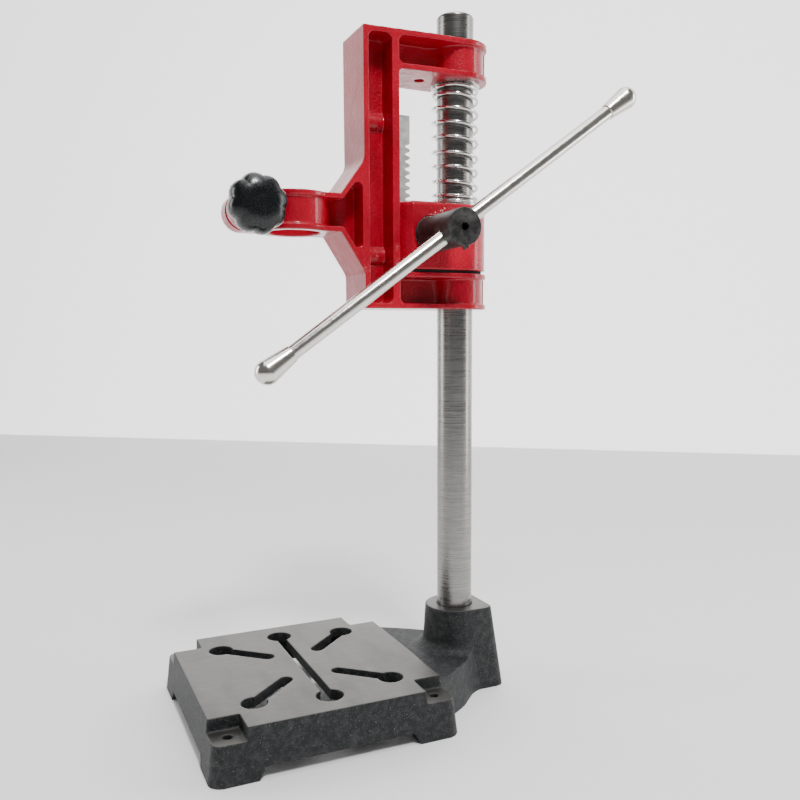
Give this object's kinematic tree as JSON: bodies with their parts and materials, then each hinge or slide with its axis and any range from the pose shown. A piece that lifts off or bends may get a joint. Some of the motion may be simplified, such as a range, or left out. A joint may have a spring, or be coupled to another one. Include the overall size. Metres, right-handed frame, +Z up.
{
  "type": "hand drill press stand",
  "caption": "Bench stand that holds a hand drill: slotted cast table, round column, rack-fed carriage with return spring, lever and clamp collar.",
  "frame": {"origin": "floor plane under the column, on the column's axis", "axes": "+Z up along the column, -Y from the column towards the table and the drill collar, +X to the side with the handle and the clamp knob"},
  "size_m": [0.207, 0.3936, 0.6],
  "materials": {
    "cast_base": "rough charcoal paint, top faces ground bare",
    "ground_column": "ground",
    "red_enamel": "gloss enamel on a casting",
    "bright_steel": "machined",
    "spring_steel": "bright",
    "black_oxide": "satin black oxide",
    "bronze": "machined",
    "black_knob": "gloss",
    "black_grip": "satin",
    "rubber_ring": "matte"
  },
  "bodies": {
    "stand": {"base_casting": "cast_base", "column": "ground_column", "boss_set_screws": "black_oxide"},
    "head_ring": {"spring_seat": "bright_steel"},
    "gearbox": {"gearbox_housing": "red_enamel", "hub_side_bush": "bright_steel", "far_side_bush": "bronze", "housing_lock_screws": "black_oxide", "return_spring": "spring_steel"},
    "carriage": {"carriage_casting": "red_enamel", "feed_rack": "bright_steel", "rack_screws": "black_oxide", "spring_top_washer": "bright_steel", "buffer_ring": "rubber_ring", "clamp_washer": "bright_steel", "clamp_nut": "bright_steel"},
    "lever": {"pinion_shaft": "bright_steel", "hub_key": "bright_steel", "handle_hub": "black_oxide", "shaft_washer": "bright_steel", "shaft_retaining_ring": "black_oxide", "handle_bar": "bright_steel", "handle_grip_upper": "bright_steel", "handle_grip_lower": "bright_steel", "handle_set_screw": "black_oxide"},
    "clamp_screw": {"clamp_knob": "black_knob", "knob_insert": "bronze", "clamp_stud": "bright_steel"}
  },
  "joints": [
    {"name": "head_height", "type": "slide", "parent": "stand", "child": "head_ring", "axis": [0, 0, 1], "range_m": [-0.15, 0.02]},
    {"name": "head_swivel", "type": "hinge", "parent": "head_ring", "child": "gearbox", "pos_m": [0, 0, 0.438], "axis": [0, 0, 1], "continuous": true},
    {"name": "feed", "type": "slide", "parent": "gearbox", "child": "carriage", "axis": [0, 0, -1], "range_m": [0, 0.06], "stiffness_N_per_m": 1850, "springref_m": -0.027, "deforming": ["return_spring"]},
    {"name": "lever_turn", "type": "hinge", "parent": "gearbox", "child": "lever", "pos_m": [0, -0.036, 0.41], "axis": [1, 0, 0], "range_deg": [0, 266]},
    {"name": "clamp_knob_turn", "type": "hinge", "parent": "carriage", "child": "clamp_screw", "pos_m": [0, -0.1905, 0.4245], "axis": [1, 0, 0], "continuous": true}
  ],
  "couplings": [
    {"joint": "lever_turn", "follows": "feed", "rad_per_m": 76.923}
  ]
}
